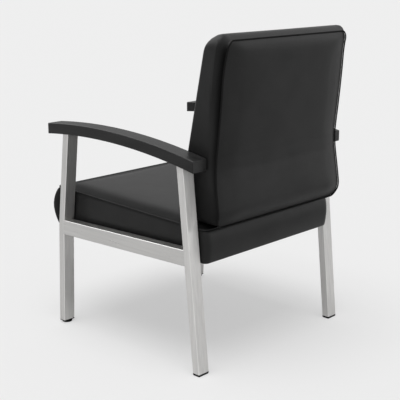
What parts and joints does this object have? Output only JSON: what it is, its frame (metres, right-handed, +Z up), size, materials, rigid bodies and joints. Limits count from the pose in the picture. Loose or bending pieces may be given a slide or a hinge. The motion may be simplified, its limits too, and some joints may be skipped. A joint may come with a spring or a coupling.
{
  "type": "guest chair",
  "caption": "Four-legged guest chair with a silver tube frame, arched black armrests, a boxed black seat and a tall boxed back.",
  "frame": {"origin": "on the floor under the middle of the chair's overall box", "axes": "+Z up, -Y towards the front of the chair, +X towards the sitter's left"},
  "size_m": [0.648, 0.7118, 0.921],
  "materials": {
    "silver_frame": "satin silver paint",
    "black_arm": "fine grained moulded skin",
    "black_foot": "matt moulded nylon",
    "black_cover": "smooth coated cloth with a faint grain",
    "foam": "cut polyurethane foam",
    "timber": "plain sawn boards and plywood",
    "dust_cloth": "thin spun cloth",
    "plated_steel": "zinc plated",
    "brass_insert": "turned brass"
  },
  "bodies": {
    "chair": {"front_leg_left": "silver_frame", "front_leg_right": "silver_frame", "rear_leg_left": "silver_frame", "rear_leg_right": "silver_frame", "side_rail_left": "silver_frame", "side_rail_right": "silver_frame", "arm_bar_left": "silver_frame", "arm_bar_right": "silver_frame", "armrest_left": "black_arm", "armrest_right": "black_arm", "arm_screws": "plated_steel", "front_plug_left": "black_foot", "front_plug_right": "black_foot", "rear_cap_left": "black_foot", "rear_cap_right": "black_foot", "seat_front_board": "timber", "seat_rear_board": "timber", "seat_side_board_left": "timber", "seat_side_board_right": "timber", "seat_corner_blocks": "timber", "seat_deck": "timber", "seat_dust_cover": "dust_cloth", "seat_foam": "foam", "seat_top_cover": "black_cover", "seat_boxing": "black_cover", "seat_welt": "black_cover", "side_bolts": "plated_steel", "side_washers": "plated_steel", "side_spacers": "plated_steel", "rail_inserts": "brass_insert", "back_bracket_left": "silver_frame", "back_bracket_right": "silver_frame", "bracket_bolts": "plated_steel", "board_inserts": "brass_insert", "back_board": "timber", "back_foam": "foam", "back_rear_pad": "foam", "back_front_cover": "black_cover", "back_boxing": "black_cover", "back_rear_cover": "black_cover", "back_welt": "black_cover"},
    "front_glide_left": {"front_glide_left": "black_foot"},
    "front_glide_right": {"front_glide_right": "black_foot"}
  },
  "joints": [
    {"name": "level_front_left", "type": "slide", "parent": "chair", "child": "front_glide_left", "axis": [0, 0, -1], "range_m": [0, 0.008]},
    {"name": "level_front_right", "type": "slide", "parent": "chair", "child": "front_glide_right", "axis": [0, 0, -1], "range_m": [0, 0.008]}
  ]
}
